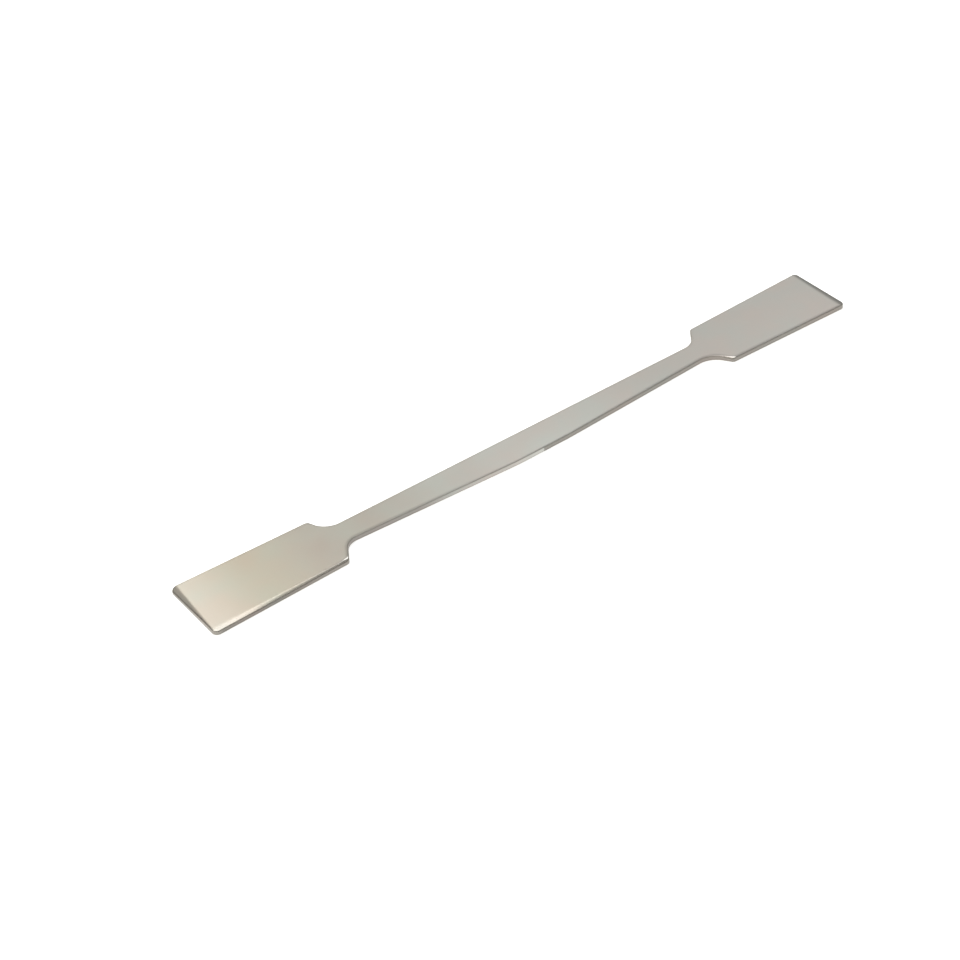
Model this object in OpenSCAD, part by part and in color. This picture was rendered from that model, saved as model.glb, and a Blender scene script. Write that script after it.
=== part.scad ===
// Double-ended laboratory spatula: one flat piece of satin stainless steel.
//
// Frame: millimetres, +Z up. The piece lies flat on its underside at z = 0.
// The origin is mid-length and mid-width on that underside, +X runs along
// the piece from the left blade to the right blade, +Y is its back edge.
//
// The outline is a ring of straight edges joined by round corners. A small
// bevel breaks every edge, top and bottom, and shallow facets ground by
// hand take down the blades' top faces at their ends.

/* [Overall] */

// Length over both blades
overall_len = 150; // [115:1:210]
// Sheet thickness
sheet_t = 1.1; // [0.8:0.05:2]
// Width of the bevel that breaks every edge
bevel_w = 0.2; // [0.1:0.01:0.25]

/* [Blades] */

// Length of the left blade from its end to its shoulder
left_blade_len = 28.7; // [22:0.1:38]
// Width of the left blade at its end
left_tip_w = 15.44; // [12:0.01:19]
// Width of the left blade at its shoulder
left_root_w = 13.86; // [11:0.01:18]
// Length of the right blade from its end to its shoulder
right_blade_len = 29.3; // [22:0.1:38]
// Width of the right blade at its end
right_tip_w = 14.84; // [12:0.01:19]
// Width of the right blade at its shoulder
right_root_w = 13.3; // [11:0.01:18]

/* [Blade corners] */

// Radius of the left end corner on the back edge
left_back_tip_r = 0.9; // [0.5:0.05:2]
// Radius of the left end corner on the front edge
left_front_tip_r = 1.15; // [0.5:0.05:2]
// Radius of the right end corner on the back edge
right_back_tip_r = 0.9; // [0.5:0.05:2]
// Radius of the right end corner on the front edge
right_front_tip_r = 1.15; // [0.5:0.05:2]
// Radius of each shoulder corner
shoulder_r = 0.95; // [0.5:0.05:1.2]

/* [Shoulders] */

// Lean of the left back shoulder away from square
left_back_lean = 22; // [12:1:40]
// Lean of the left front shoulder away from square
left_front_lean = 31; // [12:1:40]
// Lean of the right back shoulder away from square
right_back_lean = 36; // [12:1:40]
// Lean of the right front shoulder away from square
right_front_lean = 33; // [12:1:40]
// Radius of the hollow at the left back neck
left_back_hollow_r = 4.2; // [1.5:0.1:5]
// Radius of the hollow at the left front neck
left_front_hollow_r = 3.1; // [1.5:0.1:5]
// Radius of the hollow at the right back neck
right_back_hollow_r = 3.9; // [1.5:0.1:5]
// Radius of the hollow at the right front neck
right_front_hollow_r = 4.6; // [1.5:0.1:5.5]

/* [Handle] */

// Distance from the centre line to the back edge at the left neck
left_neck_back = 2.9; // [2.1:0.01:3.5]
// Distance from the centre line to the back edge at the right neck
right_neck_back = 2.54; // [2.1:0.01:3.5]
// Distance from the centre line to the front edge at the left neck
left_neck_front = 2.32; // [1.9:0.01:3.5]
// Distance from the centre line to the front edge at the right neck
right_neck_front = 2.46; // [1.9:0.01:3.5]
// Length of the front edge's middle stretch, where the handle is widest
middle_len = 12.2; // [8:0.1:20]
// Distance from the centre line to the front edge at that stretch's left end
middle_left_front = 4.36; // [3.5:0.01:5.5]
// Distance from the centre line to the front edge at that stretch's right end
middle_right_front = 4.25; // [3.5:0.01:5.5]

/* [Ground facets] */

// Greatest width of the left end facet, at the back corner
left_end_facet_w = 0.6; // [0.3:0.05:1.2]
// Greatest depth of the left end facet
left_end_facet_d = 0.25; // [0.1:0.05:0.6]
// Greatest width of the right end facet, at the front corner
right_end_facet_w = 0.9; // [0.3:0.05:1.2]
// Greatest depth of the right end facet
right_end_facet_d = 0.1; // [0.1:0.05:0.6]
// Width of the long facet along the left blade's front edge, at its end
long_facet_w = 1.3; // [0.6:0.05:2]
// Depth of the long facet at the same place
long_facet_d = 0.3; // [0.25:0.01:0.4]

/* [Hidden] */

// Number of sides asked of every round form
round_n = 96;
// Half of the overall length
half_len = overall_len / 2;
// Distance from mid-length to the shoulder corners of each blade
left_shoulder_x = half_len - left_blade_len;
right_shoulder_x = half_len - right_blade_len;
// Distance by which cutting bodies pass the faces they cut
over = 0.2;
// Length by which an edge cutter passes a corner that stands out
past = 4;
// How far each round corner stands proud of its two edges, so that its
// surface crosses theirs at a clear angle
proud = 0.003;
// Shortest straight stretch left on a shoulder
flat_min = 0.3;
// Colour of the steel
steel_colour = [0.72, 0.70, 0.66];

// Run along the piece taken up by a shoulder that leans by the given angle
function shoulder_run(root_w, neck, lean) = (root_w / 2 - neck) * tan(lean);

// Distance from mid-length to the foot of each shoulder
left_back_foot_x = left_shoulder_x
    - shoulder_run(left_root_w, left_neck_back, left_back_lean);
left_front_foot_x = left_shoulder_x
    - shoulder_run(left_root_w, left_neck_front, left_front_lean);
right_back_foot_x = right_shoulder_x
    - shoulder_run(right_root_w, right_neck_back, right_back_lean);
right_front_foot_x = right_shoulder_x
    - shoulder_run(right_root_w, right_neck_front, right_front_lean);

// Corners of the outline, anticlockwise from above: [x, y, corner radius]
outline = [
    [-half_len, -left_tip_w / 2, left_front_tip_r],
    [-left_shoulder_x, -left_root_w / 2, shoulder_r],
    [-left_front_foot_x, -left_neck_front, left_front_hollow_r],
    [-middle_len / 2, -middle_left_front, 0],
    [middle_len / 2, -middle_right_front, 0],
    [right_front_foot_x, -right_neck_front, right_front_hollow_r],
    [right_shoulder_x, -right_root_w / 2, shoulder_r],
    [half_len, -right_tip_w / 2, right_front_tip_r],
    [half_len, right_tip_w / 2, right_back_tip_r],
    [right_shoulder_x, right_root_w / 2, shoulder_r],
    [right_back_foot_x, right_neck_back, right_back_hollow_r],
    [-left_back_foot_x, left_neck_back, left_back_hollow_r],
    [-left_shoulder_x, left_root_w / 2, shoulder_r],
    [-half_len, left_tip_w / 2, left_back_tip_r]
];
corner_n = len(outline);
corners = [0 : corner_n - 1];

// Row of the outline and plan position of a corner, counted round the ring
function corner(i) = outline[(i + corner_n) % corner_n];
function at(i) = [corner(i)[0], corner(i)[1]];
// Length of the edge that leaves corner i, with its corners sharp
function edge_len(i) = norm(at(i + 1) - at(i));
// Unit vector along the same edge
function along(i) = (at(i + 1) - at(i)) / edge_len(i);
// Unit vector from the same edge out of the steel
function outward(i) = [along(i)[1], -along(i)[0]];
// Bearing of the same edge, in degrees
function bearing(i) = atan2(along(i)[1], along(i)[0]);
// Turn of the outline at corner i: more than 0 where the corner stands out
function turn(i) = atan2(cross(along(i - 1), along(i)), along(i - 1) * along(i));
function is_hollow(i) = turn(i) < 0;
// Length of edge that a round corner of radius r takes up beside corner i
function setback_of(i, r) = r * tan(abs(turn(i)) / 2);
// Length of edge that a neighbour takes up, where the neighbour stands out
function taken(i) = is_hollow(i) ? 0 : setback_of(i, corner(i)[2]);
// Length of edge that is free for a hollow beside corner i
function room(i) = min(edge_len(i - 1) - taken(i - 1), edge_len(i) - taken(i + 1)) - flat_min;
// Radius of corner i: a hollow's is limited by the shoulder it runs into
function radius(i) = is_hollow(i)
    ? min(corner(i)[2], room(i) / setback_of(i, 1))
    : corner(i)[2];
function setback(i) = setback_of(i, radius(i));
// Points where the round corner i meets its two edges
function corner_start(i) = at(i) - along(i - 1) * setback(i);
function corner_end(i) = at(i) + along(i) * setback(i);
// Centre of the round corner i
function centre(i) = corner_end(i) + outward(i) * radius(i) * (is_hollow(i) ? 1 : -1);

// Sheet with its corners sharp, and each hollow bridged by a straight line
module blank() {
    linear_extrude(height = sheet_t)
    polygon([for (i = corners) each is_hollow(i) ? [corner_start(i), corner_end(i)] : [at(i)]]);
}

// Cutter for the bevels along the straight edge that leaves corner i: it
// runs past a corner that stands out and stops at a hollow
module edge_cutter(i) {
    first = is_hollow(i) ? corner_end(i) : at(i) - along(i) * past;
    last = is_hollow(i + 1) ? corner_start(i + 1) : at(i + 1) + along(i) * past;
    reach = bevel_w + over;
    translate([first[0], first[1], 0])
    rotate([0, 0, bearing(i)])
    rotate([90, 0, 90])
    linear_extrude(height = norm(last - first)) {
        polygon([[-over, reach], [-over, -over], [reach, -over]]);
        polygon([[-over, sheet_t - reach], [reach, sheet_t + over], [-over, sheet_t + over]]);
    }
}

// Solid of revolution of radius r at mid-thickness, whose side leans in (way
// = -1) or out (way = 1) from a bevel's width below each face
module bevelled_disc(r, way) {
    lean = way * (bevel_w + over);
    rotate_extrude($fn = round_n)
    polygon([
        [0, -over],
        [r + lean, -over],
        [r, bevel_w],
        [r, sheet_t - bevel_w],
        [r + lean, sheet_t + over],
        [0, sheet_t + over]
    ]);
}

// Cutter that rounds the corner i where it stands out
module corner_cutter(i) {
    difference() {
        translate([0, 0, -over / 2])
        linear_extrude(height = sheet_t + over)
        polygon([
            centre(i),
            corner_start(i) + outward(i - 1) * over,
            at(i) + (outward(i - 1) + outward(i)) * over,
            corner_end(i) + outward(i) * over
        ]);
        translate([centre(i)[0], centre(i)[1], 0]) bevelled_disc(radius(i) + proud, -1);
    }
}

// Cutter that hollows the corner i where it stands in
module hollow_cutter(i) {
    translate([centre(i)[0], centre(i)[1], 0]) bevelled_disc(radius(i) + proud, 1);
}

// Cutter for a flat facet that slopes down from the top face's line between
// two points, at the given angle, to the right of the way along it
module facet_cutter(start, finish, slope) {
    way = finish - start;
    reach = norm(way);
    translate([start[0], start[1], sheet_t])
    rotate([0, 0, atan2(way[1], way[0])])
    rotate([slope, 0, 0])
    translate([-reach, -reach, 0])
    cube([3 * reach, 2 * reach, reach]);
}

// Facet across the end of a blade that points along +X, widest at its
// front corner and run out at the centre line
module end_facet_cutter(facet_w, facet_d, tip_w) {
    start = [half_len - facet_w, -tip_w / 2];
    finish = [half_len, 0];
    facet_cutter(start, finish, atan(facet_d / facet_w));
}

// Facet along the left blade's front edge, run out at the shoulder
module long_facet_cutter() {
    start = [-half_len, long_facet_w - left_tip_w / 2];
    finish = [-left_shoulder_x, -left_root_w / 2];
    facet_cutter(start, finish, atan(long_facet_d / long_facet_w));
}

module spatula() {
    color(steel_colour)
    difference() {
        blank();
        for (i = corners) {
            edge_cutter(i);
            if (is_hollow(i)) {
                hollow_cutter(i);
            } else if (radius(i) > 0) {
                corner_cutter(i);
            }
        }
        end_facet_cutter(right_end_facet_w, right_end_facet_d, right_tip_w);
        rotate([0, 0, 180]) end_facet_cutter(left_end_facet_w, left_end_facet_d, left_tip_w);
        long_facet_cutter();
    }
}

spatula();
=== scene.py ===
"""Satin stainless steel laboratory spatula on a pale studio floor."""

import logging
import math
from collections.abc import Callable
from dataclasses import dataclass, field
from enum import Enum

import bmesh
import bpy
from mathutils import Euler, Matrix, Vector


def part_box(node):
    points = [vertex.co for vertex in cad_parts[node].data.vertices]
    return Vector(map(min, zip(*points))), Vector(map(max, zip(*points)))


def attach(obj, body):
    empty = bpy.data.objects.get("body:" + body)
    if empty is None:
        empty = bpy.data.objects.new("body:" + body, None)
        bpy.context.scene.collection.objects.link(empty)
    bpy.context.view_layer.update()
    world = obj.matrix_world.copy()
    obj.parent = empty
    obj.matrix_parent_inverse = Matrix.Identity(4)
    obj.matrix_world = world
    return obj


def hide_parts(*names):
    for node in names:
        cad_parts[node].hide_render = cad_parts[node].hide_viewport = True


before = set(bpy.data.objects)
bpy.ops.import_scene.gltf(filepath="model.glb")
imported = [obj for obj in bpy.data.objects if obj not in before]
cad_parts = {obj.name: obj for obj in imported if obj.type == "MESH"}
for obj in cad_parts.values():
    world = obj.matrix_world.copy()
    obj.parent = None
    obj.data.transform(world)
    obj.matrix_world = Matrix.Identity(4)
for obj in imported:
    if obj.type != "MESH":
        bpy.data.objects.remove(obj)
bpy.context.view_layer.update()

LOG = logging.getLogger("spatula")
MM = 0.001
PAINTED_SHADE = "painted_shade"
SENSOR_WIDTH = 36.0
ALONG = Vector((1, 0, 0))
UP = Vector((0, 0, 1))

# Blender's Mix node gives its sockets the same names for numbers and for colours.
NUMBER_A, NUMBER_B, NUMBER_RESULT = 2, 3, 0
COLOUR_A, COLOUR_B, COLOUR_RESULT = 6, 7, 2


class Side(Enum):
    """Side of the spatula on which a blade lies, as a sign along X."""

    LEFT = -1
    RIGHT = 1


@dataclass(frozen=True)
class Corner:
    """One corner of the plan outline.

    Args:
        x: Place along the spatula, in metres.
        y: Place across the spatula, in metres.
        radius: Radius of the round corner, in metres.
    """

    x: float
    y: float
    radius: float


def linear(hex_colour: str) -> tuple[float, float, float, float]:
    """Turn an sRGB hex colour to the linear colour that shaders take.

    Args:
        hex_colour: Six hex digits.

    Returns:
        Red, green, blue and alpha.
    """
    channels = [int(hex_colour[i : i + 2], 16) / 255 for i in (0, 2, 4)]
    red, green, blue = (
        c / 12.92 if c <= 0.04045 else ((c + 0.055) / 1.055) ** 2.4 for c in channels
    )
    return red, green, blue, 1.0


def border_distance(place: Vector, border: list[Vector]) -> float:
    """Measure how far a point lies from a closed border.

    Args:
        place: The point.
        border: Points of the border in order.

    Returns:
        The distance to the nearest side.
    """
    distances = []
    for index, end in enumerate(border):
        start = border[index - 1]
        way = end - start
        share = min(1.0, max(0.0, (place - start).dot(way) / way.length_squared))
        distances.append((start + way * share - place).length)
    return min(distances)


def smooth_step(low: float, high: float, value: float) -> float:
    """Rise softly from 0 to 1 between two bounds.

    Args:
        low: Where the rise starts.
        high: Where it ends.
        value: Where to read it.

    Returns:
        A share from 0 to 1.
    """
    share = min(1.0, max(0.0, (value - low) / (high - low)))
    return share * share * (3 - 2 * share)


def add_node(
    tree: bpy.types.NodeTree,
    kind: str,
    settings: dict[str, object] | None = None,
    inputs: dict[str | int, object] | None = None,
) -> bpy.types.Node:
    """Add a shader node with its settings and its links.

    Args:
        tree: Node tree that takes the node.
        kind: Blender's name for the node.
        settings: Attributes to set on the node.
        inputs: Values for the input sockets, or output sockets to link to them.

    Returns:
        The new node.
    """
    node = tree.nodes.new(kind)
    for name, value in (settings or {}).items():
        setattr(node, name, value)
    for socket, value in (inputs or {}).items():
        if isinstance(value, bpy.types.NodeSocket):
            tree.links.new(value, node.inputs[socket])
        else:
            node.inputs[socket].default_value = value
    return node


def map_range(
    tree: bpy.types.NodeTree,
    value: bpy.types.NodeSocket,
    source: tuple[float, float],
    target: tuple[float, float] = (0.0, 1.0),
) -> bpy.types.NodeSocket:
    """Carry one range of a value over to another.

    Args:
        tree: Node tree of the material.
        value: The value.
        source: Range to read.
        target: Range to give.

    Returns:
        The new value.
    """
    inputs = {
        "Value": value,
        "From Min": source[0],
        "From Max": source[1],
        "To Min": target[0],
        "To Max": target[1],
    }
    return add_node(tree, "ShaderNodeMapRange", {}, inputs).outputs["Result"]


def mix_colours(
    tree: bpy.types.NodeTree,
    share: object,
    first: object,
    second: object,
    blend: str = "MIX",
) -> bpy.types.NodeSocket:
    """Mix two colours.

    Args:
        tree: Node tree of the material.
        share: Share of the second colour.
        first: First colour.
        second: Second colour.
        blend: Blender's name for the way to mix them.

    Returns:
        The mixed colour.
    """
    settings = {"data_type": "RGBA", "blend_type": blend}
    inputs = {"Factor": share, COLOUR_A: first, COLOUR_B: second}
    return add_node(tree, "ShaderNodeMix", settings, inputs).outputs[COLOUR_RESULT]


def bare_material(name: str) -> bpy.types.Material:
    """Make a material with an empty node tree.

    Args:
        name: Name of the material.

    Returns:
        The material.
    """
    material = bpy.data.materials.new(name)
    material.use_nodes = True
    material.node_tree.nodes.clear()
    return material


def add_surface(tree: bpy.types.NodeTree, inputs: dict[str | int, object]) -> None:
    """Close a material with a principled surface.

    Args:
        tree: Node tree of the material.
        inputs: Values or links for the surface.
    """
    shader = add_node(tree, "ShaderNodeBsdfPrincipled", {}, inputs)
    add_node(tree, "ShaderNodeOutputMaterial", {}, {"Surface": shader.outputs["BSDF"]})


@dataclass(frozen=True)
class Pattern:
    """Cloudy pattern for a finish.

    Args:
        size: Size of its spots, in metres.
        detail: How many finer layers lie over the spots.
        roughness: How strong each finer layer is.
    """

    size: float
    detail: float
    roughness: float

    def build(
        self, tree: bpy.types.NodeTree, place: bpy.types.NodeSocket
    ) -> bpy.types.NodeSocket:
        """Make the pattern.

        Args:
            tree: Node tree of the material.
            place: Where to read the pattern.

        Returns:
            A value from 0 to 1.
        """
        inputs = {
            "Vector": place,
            "Scale": 1 / self.size,
            "Detail": self.detail,
            "Roughness": self.roughness,
        }
        return add_node(tree, "ShaderNodeTexNoise", {}, inputs).outputs["Fac"]


@dataclass(frozen=True)
class SatinStainlessSteel:
    """Cold-rolled stainless sheet, drawn along its length over fine abrasive.

    The long grain gives a soft sheen that stretches across the piece, and handling
    leaves faint brighter and duller clouds in it. Its colour along the piece is painted
    light:
    lighter where the steel reflects brighter light, darker where it reflects less.

    Args:
        name: Name of the material.
        painted_tones: Places along the piece, in metres, and the colour at each, lighter or
            darker with painted light.
        warm_cloud: Tint of the warmer clouds.
        cool_cloud: Tint of the cooler clouds.
        cloud_pattern: Pattern of the clouds.
        cloud_contrast: Range of that pattern that shows.
        shade_colour: Colour of the painted shade beside the rim and on the ground slopes, or
            None for a finish without it.
        roughness_low: Least roughness.
        roughness_high: Greatest roughness.
        roughness_contrast: Range of the two patterns together that shows.
        grain_pattern: Pattern of the grain, read across it.
        grain_stretch: How many times longer than wide the grain is.
        grain_height: Height of the grain, in metres.
        grain_share: Share of the grain in the roughness, the rest being clouds.
    """

    name: str = "satin_stainless_steel"
    # Painted light: lighter where the steel reflects brighter light, as at the left tip,
    # darker where it reflects less.
    painted_tones: tuple[tuple[float, str], ...] = (
        (-75 * MM, "DCD9D1"),
        (-61 * MM, "D0CBBE"),
        (-46 * MM, "CCC9C1"),
        (-5 * MM, "DDDCD7"),
        (35 * MM, "D1CEC9"),
        (75 * MM, "D9D6D1"),
    )
    warm_cloud: str = "FFFAF6"
    cool_cloud: str = "F9FCF9"
    cloud_pattern: Pattern = Pattern(size=9 * MM, detail=3.0, roughness=0.5)
    cloud_contrast: tuple[float, float] = (0.35, 0.65)
    # Dark colour mixed in as painted shade beside the rim and on the ground slopes.
    shade_colour: str | None = "3A3835"
    roughness_low: float = 0.30
    roughness_high: float = 0.38
    roughness_contrast: tuple[float, float] = (0.3, 0.7)
    grain_pattern: Pattern = Pattern(size=0.22 * MM, detail=2.0, roughness=0.6)
    grain_stretch: float = 60.0
    grain_height: float = 0.0006 * MM
    grain_share: float = 0.45

    def build(self) -> bpy.types.Material:
        """Make the material.

        Returns:
            The node material.
        """
        material = bare_material(self.name)
        tree = material.node_tree
        place = add_node(tree, "ShaderNodeTexCoord").outputs["Object"]
        clouds = self.cloud_pattern.build(tree, place)
        drawing = {"Vector": place, "Scale": (1 / self.grain_stretch, 1.0, 1.0)}
        drawn = add_node(tree, "ShaderNodeMapping", {}, drawing).outputs["Vector"]
        grain = self.grain_pattern.build(tree, drawn)
        relief = {"Height": grain, "Distance": self.grain_height, "Strength": 1.0}
        surface = {
            "Base Color": self.colour(tree, place, clouds),
            "Metallic": 1.0,
            "Roughness": self.roughness(tree, clouds, grain),
            "Normal": add_node(tree, "ShaderNodeBump", {}, relief).outputs["Normal"],
        }
        add_surface(tree, surface)
        return material

    def colour(
        self,
        tree: bpy.types.NodeTree,
        place: bpy.types.NodeSocket,
        clouds: bpy.types.NodeSocket,
    ) -> bpy.types.NodeSocket:
        """Tint the steel with its clouds and mix in the painted shade that the mesh marks.

        Args:
            tree: Node tree of the material.
            place: Object coordinates.
            clouds: Pattern of the clouds.

        Returns:
            The colour.
        """
        cloudy = map_range(tree, clouds, self.cloud_contrast)
        tint = mix_colours(tree, cloudy, linear(self.warm_cloud), linear(self.cool_cloud))
        colour = mix_colours(tree, 1.0, self.paint_tones(tree, place), tint, "MULTIPLY")
        if self.shade_colour is None:
            return colour
        # Painted shade: the dark colour is mixed in where the mesh marks it.
        share = add_node(tree, "ShaderNodeAttribute", {"attribute_name": PAINTED_SHADE})
        return mix_colours(tree, share.outputs["Fac"], colour, linear(self.shade_colour))

    def paint_tones(
        self, tree: bpy.types.NodeTree, place: bpy.types.NodeSocket
    ) -> bpy.types.NodeSocket:
        """Vary the colour along the piece with painted light, lighter or darker where the
        steel reflects more or less light.

        Args:
            tree: Node tree of the material.
            place: Object coordinates.

        Returns:
            The colour.
        """
        first, last = self.painted_tones[0][0], self.painted_tones[-1][0]
        parts = add_node(tree, "ShaderNodeSeparateXYZ", {}, {"Vector": place})
        share = map_range(tree, parts.outputs["X"], (first, last))
        ramp = add_node(tree, "ShaderNodeValToRGB", {}, {"Fac": share})
        ramp.color_ramp.interpolation = "EASE"
        stops = ramp.color_ramp.elements
        stops[0].color = linear(self.painted_tones[0][1])
        stops[-1].color = linear(self.painted_tones[-1][1])
        for at, colour in self.painted_tones[1:-1]:
            stops.new((at - first) / (last - first)).color = linear(colour)
        return ramp.outputs["Color"]

    def roughness(
        self,
        tree: bpy.types.NodeTree,
        clouds: bpy.types.NodeSocket,
        grain: bpy.types.NodeSocket,
    ) -> bpy.types.NodeSocket:
        """Vary the roughness with the clouds and the grain.

        Args:
            tree: Node tree of the material.
            clouds: Pattern of the clouds.
            grain: Pattern of the grain.

        Returns:
            The roughness.
        """
        inputs = {"Factor": self.grain_share, NUMBER_A: clouds, NUMBER_B: grain}
        both = add_node(tree, "ShaderNodeMix", {"data_type": "FLOAT"}, inputs)
        limits = (self.roughness_low, self.roughness_high)
        return map_range(tree, both.outputs[NUMBER_RESULT], self.roughness_contrast, limits)


@dataclass(frozen=True)
class ShadedSideSteel(SatinStainlessSteel):
    """Cut edge of the same sheet, tumbled but not drawn.

    Its colour is darker than the faces, which is painted shade; it is also duller, with a
    coarser and shorter grain.
    """

    name: str = "side_steel_painted_shade"
    # Painted shade: darker than the faces, and varied along the piece with the light.
    painted_tones: tuple[tuple[float, str], ...] = (
        (-75 * MM, "9A9691"),
        (-74.4 * MM, "9A9691"),
        (-73 * MM, "86827E"),
        (-60 * MM, "86827E"),
        (-50 * MM, "918D89"),
        (75 * MM, "928E8A"),
    )
    shade_colour: str | None = None
    roughness_low: float = 0.34
    roughness_high: float = 0.44
    grain_stretch: float = 6.0


@dataclass(frozen=True)
class ShadedRimSteel(ShadedSideSteel):
    """Rounded rim of the sheet, darker than the faces: painted shade for the dark line along
    the rim.
    """

    name: str = "rim_steel_painted_shade"
    # Painted shade: one even colour darker than the faces.
    painted_tones: tuple[tuple[float, str], ...] = ((-75 * MM, "A49F97"), (75 * MM, "A49F97"))


@dataclass(frozen=True)
class HighlitFrontSteel(ShadedSideSteel):
    """Handle's front face left of mid-length, with a painted highlight that brightens from
    the left shoulder to mid-length.
    """

    name: str = "front_steel_painted_highlight"
    # Painted highlight: dark near the left shoulder, bright at mid-length.
    painted_tones: tuple[tuple[float, str], ...] = (
        (-42 * MM, "908C89"),
        (-30 * MM, "93908D"),
        (-20 * MM, "ADABA8"),
        (-13 * MM, "B0AEAB"),
        (0 * MM, "BDBCB9"),
    )


@dataclass(frozen=True)
class BurnishedSteel(ShadedSideSteel):
    """Rim at a shoulder, rubbed smooth, so that it glints."""

    name: str = "burnished_stainless_steel"
    painted_tones: tuple[tuple[float, str], ...] = ((-75 * MM, "D2D0CC"), (75 * MM, "D2D0CC"))
    roughness_low: float = 0.14
    roughness_high: float = 0.20


@dataclass(frozen=True)
class GlowingBoard:
    """Opal board lit from below, so that what lies on it throws hardly any shadow."""

    name: str = "opal_board"
    colour: str = "F0F0EE"
    roughness: float = 0.9
    glow: float = 0.7

    def build(self) -> bpy.types.Material:
        """Make the material.

        Returns:
            The node material.
        """
        material = bare_material(self.name)
        surface = {
            "Base Color": linear(self.colour),
            "Roughness": self.roughness,
            "Emission Color": linear(self.colour),
            "Emission Strength": self.glow,
        }
        add_surface(material.node_tree, surface)
        return material


@dataclass
class Blade:
    """Sizes of one blade and of its shoulders, in metres and radians.

    Args:
        side: Side on which the blade lies.
        length: Length from the shoulders to the tip.
        tip_width: Width at the tip.
        root_width: Width at the shoulders.
        tip_back_radius: Radius of the tip's back corner.
        tip_front_radius: Radius of the tip's front corner.
        back_lean: Angle of the back shoulder from square.
        front_lean: Angle of the front shoulder from square.
        back_hollow_radius: Radius of the hollow between back shoulder and handle.
        front_hollow_radius: Radius of the hollow between front shoulder and handle.
        neck_back: Distance from the axis to the handle's back edge at this blade.
        neck_front: Distance from the axis to the handle's front edge at this blade.
        shoulder_radius: Radius of the shoulders' corners.
    """

    side: Side
    length: float
    tip_width: float
    root_width: float
    tip_back_radius: float
    tip_front_radius: float
    back_lean: float
    front_lean: float
    back_hollow_radius: float
    front_hollow_radius: float
    neck_back: float
    neck_front: float
    shoulder_radius: float = 0.95 * MM

    def corners(self, half_length: float) -> list[Corner]:
        """Work out the outline of this blade, from the back neck round to the front neck.

        Args:
            half_length: Half of the overall length.

        Returns:
            Six corners: back neck, back shoulder, back tip, front tip, front shoulder and
            front neck.
        """
        sign = self.side.value
        shoulder = half_length - self.length
        back_run = (self.root_width / 2 - self.neck_back) * math.tan(self.back_lean)
        front_run = (self.root_width / 2 - self.neck_front) * math.tan(self.front_lean)
        return [
            Corner(sign * (shoulder - back_run), self.neck_back, self.back_hollow_radius),
            Corner(sign * shoulder, self.root_width / 2, self.shoulder_radius),
            Corner(sign * half_length, self.tip_width / 2, self.tip_back_radius),
            Corner(sign * half_length, -self.tip_width / 2, self.tip_front_radius),
            Corner(sign * shoulder, -self.root_width / 2, self.shoulder_radius),
            Corner(sign * (shoulder - front_run), -self.neck_front, self.front_hollow_radius),
        ]


@dataclass(frozen=True)
class Hinge:
    """Plan point on the line where a ground slope starts.

    Args:
        x: Place along the spatula.
        y: Place across the spatula.
        slope: Steepness of the slope beyond it, as depth over width.
        softness: Half width of the rounding across it.
    """

    x: float
    y: float
    slope: float
    softness: float

    @property
    def place(self) -> Vector:
        """Give the point at height 0."""
        return Vector((self.x, self.y, 0))


@dataclass(frozen=True)
class Facet:
    """Shallow slope ground in the top face, to the right of the way from start to finish.

    Steepness and softness change fast near the start and slowly near the finish.

    Args:
        start: Hinge at one end of the slope.
        finish: Hinge at its other end.
        slack: How far past its ends it still runs, as a share of its length.
    """

    start: Hinge
    finish: Hinge
    slack: float = 0.04

    def row(self, offset: float) -> tuple[Vector, Vector]:
        """Give the upright plane of one row of the rounding.

        Args:
            offset: Place of the row, from -1 to 1 across the rounding and less ahead of it.

        Returns:
            A point on the plane and its level normal.
        """
        out = self.outward()
        first = self.start.place + out * offset * self.start.softness
        last = self.finish.place + out * offset * self.finish.softness
        return first, (last - first).cross(UP).normalized()

    def outward(self) -> Vector:
        """Give the level unit vector that points down the slope."""
        way = self.finish.place - self.start.place
        return way.cross(UP).normalized()

    def depth(self, place: Vector) -> float:
        """Work out how far the slope lies below the flat face.

        Args:
            place: A point of the top face.

        Returns:
            The depth, which is 0 inside the hinge and past both ends.
        """
        way = self.finish.place - self.start.place
        reach = place - self.start.place
        along = reach.dot(way) / way.length_squared
        if not -self.slack < along < 1 + self.slack:
            return 0.0
        eased = 1 - (1 - min(1.0, max(0.0, along))) ** 2
        soft = self.start.softness + (self.finish.softness - self.start.softness) * eased
        slope = self.start.slope + (self.finish.slope - self.start.slope) * eased
        beyond = reach.dot(self.outward())
        if beyond <= -soft:
            return 0.0
        if beyond < soft:
            return slope * (beyond + soft) ** 2 / (4 * soft)
        return slope * beyond


@dataclass(frozen=True)
class SlopeShade:
    """Painted shade on a ground slope.

    Args:
        painted_shade: Strength of the painted shade where the slope is deep.
        full_depth: Depth at which the painted shade reaches that strength.
        lead: How far the painted shade runs up the face ahead of the slope.
    """

    painted_shade: float
    full_depth: float
    lead: float

    def share(self, facet: Facet, place: Vector) -> float:
        """Say how strong the painted shade is at a point.

        Args:
            facet: The slope.
            place: A point of the top face.

        Returns:
            A share from 0 to 1.
        """
        ahead = facet.depth(place + facet.outward() * self.lead)
        return self.painted_shade * smooth_step(0.0, self.full_depth, ahead)


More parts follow.
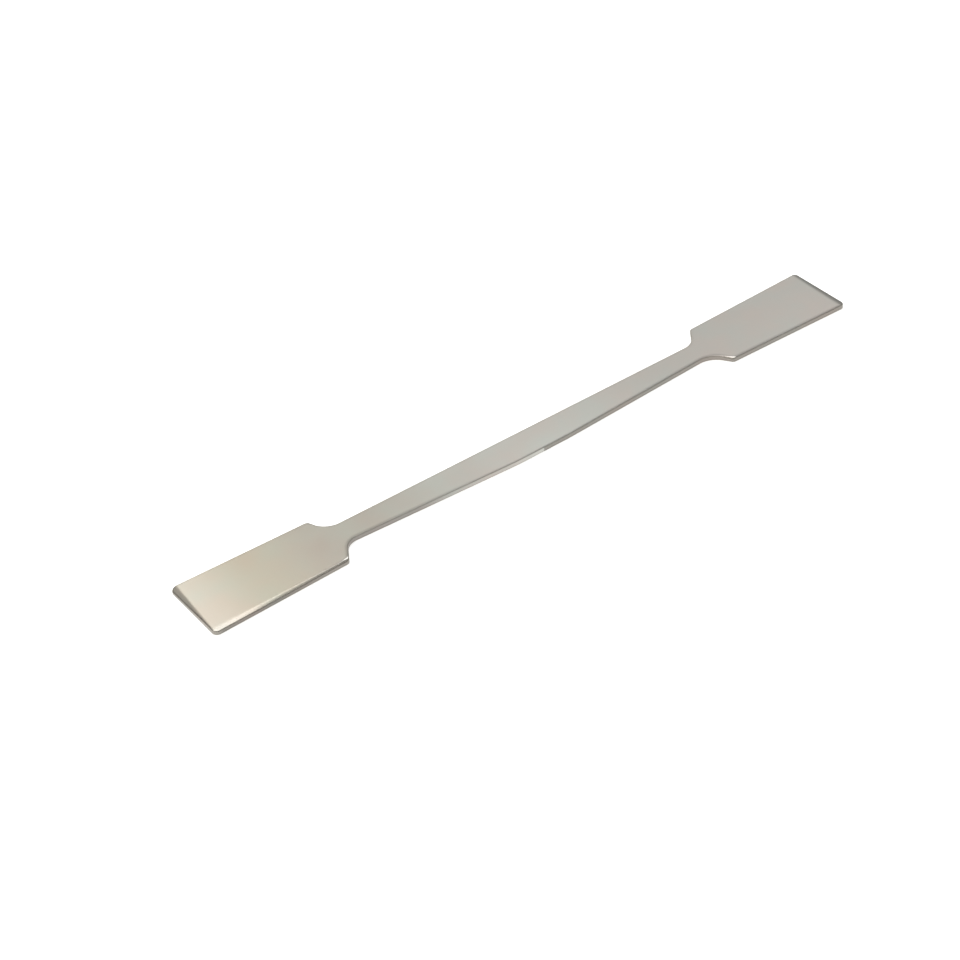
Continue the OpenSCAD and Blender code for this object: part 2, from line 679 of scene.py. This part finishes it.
@dataclass(frozen=True)
class Margin:
    """Band beside the rim with painted shade, darkest at the rim.

    Args:
        width: Width of the band.
        middle_share: Share of that width at mid-length, in front. From halfway to each end
            the band has its full width.
        front_shade: Strength of the painted shade at the front rim.
        back_shade: Strength of the painted shade at the back rim.
        tip_fade: Stretch over which the front band sets in from the left end, where -1 is
            the end and 0 is mid-length.
        falloff: Power by which the painted shade fades across the band.
    """

    width: float = 0.64 * MM
    middle_share: float = 0.4
    front_shade: float = 0.40
    back_shade: float = 0.06
    tip_fade: tuple[float, float] = (-0.93, -0.80)
    falloff: float = 1.5

    def share(self, along: float, inside: float, in_front: bool) -> float:
        """Say how strong the painted shade is at a point.

        Args:
            along: Place along the piece, from -1 at its left end to 1.
            inside: Distance from the rim.
            in_front: Whether the point lies in the front half.

        Returns:
            A share from 0 to 1.
        """
        # Painted shade beside the rim, much darker in front than at the back.
        weight, reach = self.back_shade, self.width
        if in_front:
            weight = self.front_shade * smooth_step(*self.tip_fade, along)
            reach *= self.middle_share + (1 - self.middle_share) * min(1.0, 2 * abs(along))
        return weight * max(0.0, 1 - inside / reach) ** self.falloff


@dataclass(frozen=True)
class Grinding:
    """Slopes that hand grinding has left in the top face.

    A width runs in plan from the slope's hinge to the edge of the piece. A slope is depth
    over width, and a softness is half the width of the rounding at the hinge.
    """

    left: Blade
    right: Blade
    half_length: float
    left_end_slope: float = 0.36
    left_end_back_width: float = 1.2 * MM
    left_end_back_softness: float = 0.3 * MM
    left_end_front_width: float = 0.08 * MM
    left_end_front_softness: float = 0.08 * MM
    right_end_slope: float = 0.13
    right_end_back_width: float = 0.4 * MM
    right_end_back_softness: float = 0.4 * MM
    right_end_front_width: float = 0.75 * MM
    right_end_front_softness: float = 0.6 * MM
    long_tip_slope: float = 0.18
    long_tip_width: float = 0.9 * MM
    long_tip_softness: float = 0.6 * MM
    long_shoulder_slope: float = 0.5
    long_shoulder_width: float = 0.35 * MM
    right_shoulder_slope: float = 0.5
    right_shoulder_width: float = 0.6 * MM
    left_shoulder_slope: float = 0.2
    left_shoulder_width: float = 0.7 * MM
    left_shoulder_turn: float = math.radians(15)
    shoulder_reach: float = 2.8 * MM
    shoulder_softness: float = 0.08 * MM

    def right_end(self) -> Facet:
        """Give the slope across the right end, widest at the front corner.

        Returns:
            The slope.
        """
        edge = self.right.tip_width / 2
        slope = self.right_end_slope
        front = self.half_length - self.right_end_front_width
        back = self.half_length - self.right_end_back_width
        return Facet(
            Hinge(front, -edge, slope, self.right_end_front_softness),
            Hinge(back, edge, slope, self.right_end_back_softness),
        )

    def left_end(self) -> Facet:
        """Give the slope across the left end, widest at the back corner.

        Returns:
            The slope.
        """
        edge = self.left.tip_width / 2
        slope = self.left_end_slope
        back = self.left_end_back_width - self.half_length
        front = self.left_end_front_width - self.half_length
        return Facet(
            Hinge(back, edge, slope, self.left_end_back_softness),
            Hinge(front, -edge, slope, self.left_end_front_softness),
        )

    def long_edge(self) -> Facet:
        """Give the slope along the left blade's front edge, widest at the tip.

        Returns:
            The slope.
        """
        tip = self.long_tip_width - self.left.tip_width / 2
        shoulder = self.long_shoulder_width - self.left.root_width / 2
        root = self.left.length - self.half_length
        return Facet(
            Hinge(-self.half_length, tip, self.long_tip_slope, self.long_tip_softness),
            Hinge(root, shoulder, self.long_shoulder_slope, self.shoulder_softness),
        )

    def right_shoulder(self) -> Facet:
        """Give the small slope along the right blade's front shoulder.

        Returns:
            A slope that widens from the neck and runs off the piece at the shoulder.
        """
        corner = Vector((self.half_length - self.right.length, -self.right.root_width / 2, 0))
        lean = self.right.front_lean
        down = Vector((math.sin(lean), -math.cos(lean), 0))
        inward = Vector((math.cos(lean), math.sin(lean), 0))
        first = corner - down * self.shoulder_reach
        last = corner + (down + inward) * self.right_shoulder_width
        return self.crisp_facet(first, last, self.right_shoulder_slope)

    def left_shoulder(self) -> Facet:
        """Give the small slope at the left blade's front shoulder.

        Returns:
            A slope across the corner that runs off the piece at both ends.
        """
        corner = Vector((self.left.length - self.half_length, -self.left.root_width / 2, 0))
        turn = self.left_shoulder_turn
        outward = Vector((math.sin(turn), -math.cos(turn), 0))
        way = Vector((-outward.y, outward.x, 0))
        middle = corner - outward * self.left_shoulder_width
        first = middle - way * self.shoulder_reach
        last = middle + way * self.shoulder_reach
        return self.crisp_facet(first, last, self.left_shoulder_slope)

    def crisp_facet(self, first: Vector, last: Vector, slope: float) -> Facet:
        """Give an even slope with a crisp hinge.

        Args:
            first: Start of the hinge.
            last: Finish of the hinge.
            slope: Depth over width.

        Returns:
            The slope.
        """
        return Facet(
            Hinge(first.x, first.y, slope, self.shoulder_softness),
            Hinge(last.x, last.y, slope, self.shoulder_softness),
        )

    def facets(self) -> tuple[Facet, ...]:
        """Give all the slopes.

        Returns:
            The two ends, the long edge and the two shoulders.
        """
        return (self.right_end(), self.left_end(), self.long_edge(), *self.shoulders())

    def shoulders(self) -> tuple[Facet, Facet]:
        """Give the two small slopes at the front shoulders."""
        return self.right_shoulder(), self.left_shoulder()


class MeshEditor:
    """Edit-mode session on one mesh, with selections made by place."""

    MODES = {"verts": "VERT", "edges": "EDGE", "faces": "FACE"}
    CUT_TOLERANCE = 1e-4 * MM

    def __init__(self, piece: bpy.types.Object) -> None:
        """Keep the object to work on.

        Args:
            piece: Mesh object.
        """
        self.piece = piece

    def __enter__(self) -> "MeshEditor":
        """Start edit mode on this object alone."""
        bpy.ops.object.select_all(action="DESELECT")
        self.piece.select_set(True)
        bpy.context.view_layer.objects.active = self.piece
        bpy.ops.object.mode_set(mode="EDIT")
        return self

    def __exit__(self, *trouble: object) -> None:
        """Leave edit mode."""
        bpy.ops.object.mode_set(mode="OBJECT")

    def select_all(self) -> None:
        """Select the whole mesh."""
        bpy.ops.mesh.select_all(action="SELECT")

    def pick(self, kind: str, test: Callable[[object], bool]) -> None:
        """Select the elements that pass a test, and nothing else.

        Args:
            kind: "verts", "edges" or "faces".
            test: Says whether an element is wanted.
        """
        bpy.ops.mesh.select_mode(type=self.MODES[kind])
        bpy.ops.mesh.select_all(action="DESELECT")
        mesh = bmesh.from_edit_mesh(self.piece.data)
        wanted = [element for element in getattr(mesh, kind) if test(element)]
        for element in wanted:
            element.select_set(True)
        bmesh.update_edit_mesh(self.piece.data)

    def pick_vertex_at(self, place: Vector) -> None:
        """Select the vertex nearest to a place.

        Args:
            place: Where to look.
        """
        mesh = bmesh.from_edit_mesh(self.piece.data)
        nearest = min((v.co - place).length for v in mesh.verts)
        self.pick("verts", lambda v: (v.co - place).length <= nearest)

    def split(self, point: Vector, normal: Vector) -> None:
        """Cut edges across the whole mesh along a plane and keep both sides.

        Args:
            point: A point on the plane.
            normal: Normal of the plane.
        """
        self.select_all()
        bpy.ops.mesh.bisect(plane_co=point, plane_no=normal, threshold=self.CUT_TOLERANCE)


@dataclass
class Spatula:
    """The whole spatula: one blanked strip with a blade at each end.

    A level is the size of a face's normal along an axis, which is 1 square to that axis.

    Args:
        left: Left blade.
        right: Right blade.
        middle_length: Length of the straight middle stretch of the front edge.
        middle_left_front: Distance from the axis to the left end of that stretch.
        middle_right_front: Distance from the axis to its right end.
        middle_radius: Radius of the corners at its ends.
        rim_radius: Radius of the rounded rim.
        rim_segments: Strips of faces across the rim.
        corner_step: Turn from one point to the next round a corner.
        rings: Widths of the bands of faces inside the border, from the rim inwards.
        hinge_rows: Stretches into which the rounding at a hinge is cut.
        stations: Stretches into which the left blade is cut along its length.
        merge_distance: Distance below which two points become one.
        smooth_angle: Sharpest turn between faces that is shaded smooth.
        flat_level: Least upward level of the flat face.
        face_level: Least level of the drawn faces, top and bottom.
        side_level: Greatest upward level of the cut side.
        rim_level: Level that parts level faces from upright ones.
        front_level: Least forward level of the handle's front face with the painted
            highlight.
        margin: Band beside the rim with painted shade.
        left_end_shade: Painted shade on the left end's slope.
        right_end_shade: Painted shade on the right end's slope.
        face_steel: Finish of the faces.
        side_steel: Finish of the cut side and of the lower rim, darkened with painted shade.
        rim_steel: Finish of the upper rim, darkened with painted shade.
        highlit_front_steel: Finish of the handle's front face left of mid-length, with a
            painted highlight.
        glint_steel: Finish of the two small slopes at the front shoulders.
    """

    left: Blade = field(
        default_factory=lambda: Blade(
            side=Side.LEFT,
            length=28.7 * MM,
            tip_width=15.44 * MM,
            root_width=13.86 * MM,
            tip_back_radius=0.9 * MM,
            tip_front_radius=1.15 * MM,
            back_lean=math.radians(22),
            front_lean=math.radians(31),
            back_hollow_radius=4.2 * MM,
            front_hollow_radius=3.1 * MM,
            neck_back=2.9 * MM,
            neck_front=2.32 * MM,
        )
    )
    right: Blade = field(
        default_factory=lambda: Blade(
            side=Side.RIGHT,
            length=29.3 * MM,
            tip_width=14.84 * MM,
            root_width=13.3 * MM,
            tip_back_radius=0.9 * MM,
            tip_front_radius=1.15 * MM,
            back_lean=math.radians(36),
            front_lean=math.radians(33),
            back_hollow_radius=3.9 * MM,
            front_hollow_radius=4.6 * MM,
            neck_back=2.54 * MM,
            neck_front=2.46 * MM,
        )
    )
    middle_length: float = 12.2 * MM
    middle_left_front: float = 4.36 * MM
    middle_right_front: float = 4.25 * MM
    middle_radius: float = 60 * MM
    rim_radius: float = 0.2 * MM
    rim_segments: int = 6
    corner_step: float = math.radians(6)
    rings: tuple[float, ...] = (0.2 * MM, 0.22 * MM, 0.23 * MM)
    hinge_rows: int = 8
    stations: int = 12
    merge_distance: float = 0.002 * MM
    smooth_angle: float = math.radians(32)
    flat_level: float = 0.9999
    face_level: float = math.cos(math.radians(31))
    side_level: float = math.cos(math.radians(70))
    rim_level: float = 0.5
    front_level: float = 0.8
    margin: Margin = Margin()
    left_end_shade: SlopeShade = SlopeShade(painted_shade=0.66, full_depth=0.11 * MM, lead=0.25 * MM)
    right_end_shade: SlopeShade = SlopeShade(painted_shade=0.46, full_depth=0.09 * MM, lead=0.8 * MM)
    face_steel: SatinStainlessSteel = field(default_factory=SatinStainlessSteel)
    side_steel: ShadedSideSteel = field(default_factory=ShadedSideSteel)
    rim_steel: ShadedRimSteel = field(default_factory=ShadedRimSteel)
    highlit_front_steel: HighlitFrontSteel = field(default_factory=HighlitFrontSteel)
    glint_steel: BurnishedSteel = field(default_factory=BurnishedSteel)

    def __post_init__(self) -> None:
        """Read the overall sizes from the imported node."""
        low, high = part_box("spatula")
        self.half_length = (high.x - low.x) / 2
        self.thickness = high.z - low.z
        self.grinding = Grinding(self.left, self.right, self.half_length)

    def outline(self) -> list[Corner]:
        """Give every corner of the plan outline, anticlockwise from above.

        Returns:
            The corners, from the left blade's back neck round to the right one's.
        """
        left = self.left.corners(self.half_length)
        right = self.right.corners(self.half_length)
        reach = self.middle_length / 2
        middle = [
            Corner(-reach, -self.middle_left_front, self.middle_radius),
            Corner(reach, -self.middle_right_front, self.middle_radius),
        ]
        return [*left, *middle, *reversed(right)]

    def blank(self) -> bpy.types.Object:
        """Make the flat blank with sharp corners.

        Returns:
            A mesh object with a single face.
        """
        corners = self.outline()
        bpy.ops.object.select_all(action="DESELECT")
        bpy.ops.mesh.primitive_circle_add(
            vertices=len(corners), radius=self.half_length, fill_type="NGON"
        )
        piece = bpy.context.active_object
        piece.name = "spatula_body"
        with MeshEditor(piece) as editor:
            ring = [v.co.copy() for v in bmesh.from_edit_mesh(piece.data).verts]
            for index, corner in enumerate(corners):
                editor.pick("verts", lambda v, index=index: v.index == index)
                target = Vector((corner.x, corner.y, 0))
                bpy.ops.transform.translate(value=target - ring[index])
        return piece

    def round_corners(self, piece: bpy.types.Object) -> None:
        """Turn each corner of the blank into an arc.

        Args:
            piece: The flat blank.
        """
        corners = self.outline()
        places = [Vector((c.x, c.y, 0)) for c in corners]
        with MeshEditor(piece) as editor:
            for index, corner in enumerate(corners):
                here = places[index]
                before = here - places[index - 1]
                after = places[(index + 1) % len(places)] - here
                half_turn = before.angle(after) / 2
                segments = max(3, round(2 * half_turn / self.corner_step))
                # This profile keeps the bevel within 5 micrometres of a circular arc.
                cosine = math.cos(half_turn)
                profile = ((1 + 2 * cosine) / (2 + 2 * cosine)) ** 2
                editor.pick_vertex_at(here)
                bpy.ops.mesh.bevel(
                    offset_type="OFFSET",
                    offset=corner.radius * math.tan(half_turn),
                    segments=segments,
                    profile=profile,
                    affect="VERTICES",
                    clamp_overlap=False,
                )

    def thicken(self, piece: bpy.types.Object) -> None:
        """Raise the blank to its full thickness and round the rim, top and bottom.

        Args:
            piece: The flat blank with its round corners.
        """
        with MeshEditor(piece) as editor:
            editor.select_all()
            bpy.ops.mesh.extrude_region_move(
                TRANSFORM_OT_translate={"value": (0, 0, self.thickness)}
            )
            editor.select_all()
            bpy.ops.mesh.normals_make_consistent(inside=False)
            editor.pick("edges", self.is_rim)
            bpy.ops.mesh.bevel(
                offset_type="OFFSET",
                offset=self.rim_radius,
                segments=self.rim_segments,
                profile=0.5,
                affect="EDGES",
                clamp_overlap=False,
            )

    def add_rings(self, piece: bpy.types.Object) -> None:
        """Add rings of points inside the border of the top face, to carry the painted shade
        beside its rim.

        Args:
            piece: The full strip.
        """
        with MeshEditor(piece) as editor:
            editor.pick("faces", lambda face: face.normal.z > self.flat_level)
            for width in self.rings:
                bpy.ops.mesh.inset(thickness=width, depth=0, use_even_offset=True)

    def is_rim(self, edge: bmesh.types.BMEdge) -> bool:
        """Say whether an edge parts a level face from an upright one.

        Args:
            edge: The edge to judge.

        Returns:
            True on the rim.
        """
        levels = sorted(abs(face.normal.z) for face in edge.link_faces)
        return len(levels) == 2 and levels[0] < self.rim_level < levels[1]

    def grind(self, piece: bpy.types.Object) -> None:
        """Lower the top face along each facet.

        Rows of cuts run beside each hinge, also where only its painted shade reaches. A cut
        at mid-length bounds the face with the painted highlight, and even cuts carry the left
        blade's long slope.

        Args:
            piece: The full strip.
        """
        facets = self.grinding.facets()
        with MeshEditor(piece) as editor:
            for facet in facets:
                for count in range(-self.hinge_rows // 2, self.hinge_rows + 1):
                    editor.split(*facet.row(2 * count / self.hinge_rows - 1))
            # This cut at mid-length bounds the face with the painted highlight.
            editor.split(Vector(), ALONG)
            for count in range(1, self.stations):
                x = self.left.length * count / self.stations - self.half_length
                editor.split(ALONG * x, ALONG)
            mesh = bmesh.from_edit_mesh(piece.data)
            for vertex in mesh.verts:
                if vertex.co.z > self.thickness / 2:
                    place = vertex.co.copy()
                    vertex.co.z -= sum(facet.depth(place) for facet in facets)
            bmesh.update_edit_mesh(piece.data)

    def smooth(self, piece: bpy.types.Object) -> None:
        """Merge stray points and smooth the shading, led by the flat faces.

        Args:
            piece: The ground strip.
        """
        with MeshEditor(piece) as editor:
            editor.select_all()
            bpy.ops.mesh.remove_doubles(threshold=self.merge_distance)
            bpy.ops.mesh.normals_make_consistent(inside=False)
        bpy.ops.object.shade_smooth_by_angle(angle=self.smooth_angle)
        modifier = piece.modifiers.new("flat_faces_lead", "WEIGHTED_NORMAL")
        modifier.keep_sharp = True
        bpy.ops.object.modifier_apply(modifier=modifier.name)

    def paint_shade(self, piece: bpy.types.Object, border: list[Vector]) -> None:
        """Store on each point how strong its painted shade is.

        Args:
            piece: The ground strip.
            border: Plan outline of the strip.
        """
        # Painted shade, stored on each point for the steel to read.
        shares = piece.data.attributes.new(PAINTED_SHADE, "FLOAT", "POINT")
        for vertex, share in zip(piece.data.vertices, shares.data):
            share.value = self.painted_shade(vertex.co, border)

    def give_steel(self, piece: bpy.types.Object) -> None:
        """Give each face the finish of its part, where later finishes win.

        Args:
            piece: The ground strip.
        """
        finishes = (
            (self.face_steel, lambda face: True),
            # Rim and side finishes carry painted shade, the handle's front finish a painted
            # highlight.
            (self.rim_steel, self.is_rim_face),
            (self.side_steel, self.is_side),
            (self.highlit_front_steel, self.is_highlit_front),
            (self.glint_steel, self.is_glint),
        )
        piece.data.materials.clear()
        for finish, _ in finishes:
            piece.data.materials.append(finish.build())
        with MeshEditor(piece) as editor:
            for index, (_, test) in enumerate(finishes):
                editor.pick("faces", test)
                piece.active_material_index = index
                bpy.ops.object.material_slot_assign()

    def painted_shade(self, place: Vector, border: list[Vector]) -> float:
        """Say how strong the painted shade is at a point.

        Args:
            place: A point of the piece.
            border: Plan outline of the strip.

        Returns:
            0 where there is no painted shade and below the top face, 1 where it is full.
        """
        if place.z < self.thickness / 2:
            return 0.0
        plan = Vector((place.x, place.y, 0))
        inside = max(0.0, border_distance(plan, border) - self.rim_radius)
        return max(
            self.margin.share(place.x / self.half_length, inside, place.y <= 0),
            self.left_end_shade.share(self.grinding.left_end(), plan),
            self.right_end_shade.share(self.grinding.right_end(), plan),
        )

    def is_rim_face(self, face: bmesh.types.BMFace) -> bool:
        """Say whether a face belongs to the rounded rim."""
        return abs(face.normal.z) < self.face_level

    def is_side(self, face: bmesh.types.BMFace) -> bool:
        """Say whether a face belongs to the cut side or to the lower rim."""
        return -self.face_level < face.normal.z < self.side_level

    def is_highlit_front(self, face: bmesh.types.BMFace) -> bool:
        """Say whether a face takes the painted highlight on the handle's front face.

        Args:
            face: The face to judge.

        Returns:
            True on the handle's upright front face, left of mid-length.
        """
        middle = face.calc_center_median()
        shoulder = self.half_length - self.left.length
        in_place = -shoulder < middle.x < 0 and middle.y < 0
        return in_place and face.normal.y < -self.front_level

    def is_glint(self, face: bmesh.types.BMFace) -> bool:
        """Say whether a face belongs to one of the two small slopes at the front shoulders.

        Args:
            face: The face to judge.

        Returns:
            True on the slopes.
        """
        middle = face.calc_center_median()
        ground = any(facet.depth(middle) > 0 for facet in self.grinding.shoulders())
        return ground and face.normal.z > self.face_level

    def build(self) -> bpy.types.Object:
        """Make the finished piece and set it in the frame.

        Returns:
            The finished piece.
        """
        piece = self.blank()
        self.round_corners(piece)
        border = [piece.data.vertices[i].co.copy() for i in piece.data.polygons[0].vertices]
        self.thicken(piece)
        self.add_rings(piece)
        self.grind(piece)
        self.smooth(piece)
        self.paint_shade(piece, border)
        self.give_steel(piece)
        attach(piece, "root")
        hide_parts("spatula")
        return piece


@dataclass(frozen=True)
class Floor:
    """Wide board on which the spatula lies."""

    size: float = 4.0
    gap: float = 0.02 * MM
    finish: GlowingBoard = field(default_factory=GlowingBoard)

    def build(self) -> bpy.types.Object:
        """Make the floor.

        Returns:
            The floor.
        """
        bpy.ops.object.select_all(action="DESELECT")
        bpy.ops.mesh.primitive_plane_add(size=self.size, location=(0, 0, -self.gap))
        floor = bpy.context.active_object
        floor.name = "floor"
        floor.data.materials.append(self.finish.build())
        return floor


@dataclass(frozen=True)
class Softbox:
    """Rectangular soft light that looks at the spatula.

    Args:
        name: Name of the light.
        azimuth: Bearing from behind the spatula towards its right, in degrees.
        elevation: Height above the horizon, in degrees.
        width: Level size of the panel, in metres.
        height: Other size of the panel, in metres.
        brightness: Radiance of the panel, where 1 shows as white.
        distance: Distance from the spatula, in metres.
        colour: Hex colour of the light.
    """

    name: str
    azimuth: float
    elevation: float
    width: float
    height: float
    brightness: float
    distance: float = 1.2
    colour: str = "FFFFFF"

    def build(self) -> bpy.types.Object:
        """Make the light.

        Returns:
            The light.
        """
        turn, rise = math.radians(self.azimuth), math.radians(self.elevation)
        way = Vector(
            (math.sin(turn) * math.cos(rise), math.cos(turn) * math.cos(rise), math.sin(rise))
        )
        bpy.ops.object.light_add(type="AREA", location=way * self.distance)
        light = bpy.context.active_object
        light.name = self.name
        light.rotation_euler = way.to_track_quat("Z", "Y").to_euler()
        light.data.shape = "RECTANGLE"
        light.data.size = self.width
        light.data.size_y = self.height
        light.data.energy = self.brightness * math.pi * self.width * self.height
        light.data.color = linear(self.colour)[:3]
        return light


@dataclass(frozen=True)
class Studio:
    """Soft light all round, with panels that shape the sheen on the steel."""

    surround: str = "878787"
    surround_strength: float = 1.0
    panels: tuple[Softbox, ...] = (
        Softbox("top_panel", -60, 78, width=1.6, height=1.6, brightness=1.6, distance=1.6),
        Softbox("back_panel", 0, 44, width=0.6, height=0.5, brightness=1.7, colour="FFF8EC"),
        Softbox("ridge_panel", 38, 56, width=0.5, height=0.3, brightness=1.4),
        Softbox("right_back_panel", 55, 42, width=0.7, height=0.5, brightness=0.6),
        Softbox("front_panel", 150, 40, width=1.2, height=0.8, brightness=0.3, distance=1.4),
        Softbox("left_panel", -98, 45, width=0.15, height=0.15, brightness=30.0),
        Softbox("spark_panel", 135, 60, width=0.12, height=0.12, brightness=6.0),
    )

    def build(self) -> None:
        """Make the surround and the panels."""
        scene = bpy.context.scene
        scene.world = bpy.data.worlds.new("soft_surround")
        scene.world.use_nodes = True
        tree = scene.world.node_tree
        tree.nodes.clear()
        shade = add_node(
            tree,
            "ShaderNodeBackground",
            {},
            {"Color": linear(self.surround), "Strength": self.surround_strength},
        )
        add_node(tree, "ShaderNodeOutputWorld", {}, {"Surface": shade.outputs["Background"]})
        scene.view_settings.view_transform = "Standard"
        for panel in self.panels:
            panel.build()


@dataclass(frozen=True)
class ViewCamera:
    """Camera that looks down on the spatula from its front left.

    Args:
        azimuth: Bearing round the spatula, in degrees, where 0 looks along +Y.
        elevation: Height above the horizon, in degrees.
        roll: Turn about the line of sight, in degrees.
        distance: Distance from the spatula's middle along the line of sight.
        right: How far the line of sight passes to the right of the middle.
        up: How far it passes above the middle.
        lens: Focal length in millimetres.
        clip_start: Distance from which on the camera sees.
    """

    azimuth: float = -33.663
    elevation: float = 38.566
    roll: float = -4.793
    distance: float = 422.6 * MM
    right: float = -9.60 * MM
    up: float = -7.37 * MM
    lens: float = 83.28
    clip_start: float = 10 * MM

    def build(self) -> bpy.types.Object:
        """Make the camera and give it to the scene.

        Returns:
            The camera.
        """
        bpy.ops.object.camera_add()
        camera = bpy.context.active_object
        camera.name = "view_camera"
        camera.data.lens = self.lens
        camera.data.sensor_width = SENSOR_WIDTH
        camera.data.dof.use_dof = False
        camera.data.clip_start = self.clip_start
        tilt = Euler((math.radians(90 - self.elevation), 0, math.radians(self.azimuth)))
        turn = tilt.to_matrix() @ Matrix.Rotation(math.radians(self.roll), 3, "Z")
        camera.rotation_euler = turn.to_euler()
        camera.location = turn @ Vector((self.right, self.up, self.distance))
        bpy.context.scene.camera = camera
        return camera


def main() -> None:
    """Build the spatula, its floor, the lights and the camera."""
    logging.basicConfig(level=logging.INFO, format="%(name)s: %(message)s")
    spatula = Spatula().build()
    LOG.info("%s: %d faces", spatula.name, len(spatula.data.polygons))
    floor = Floor().build()
    LOG.info("%s: stage", floor.name)
    Studio().build()
    LOG.info("studio: soft surround and panels")
    camera = ViewCamera().build()
    LOG.info("%s: lens %.2f mm", camera.name, camera.data.lens)


if __name__ == "__main__":
    main()
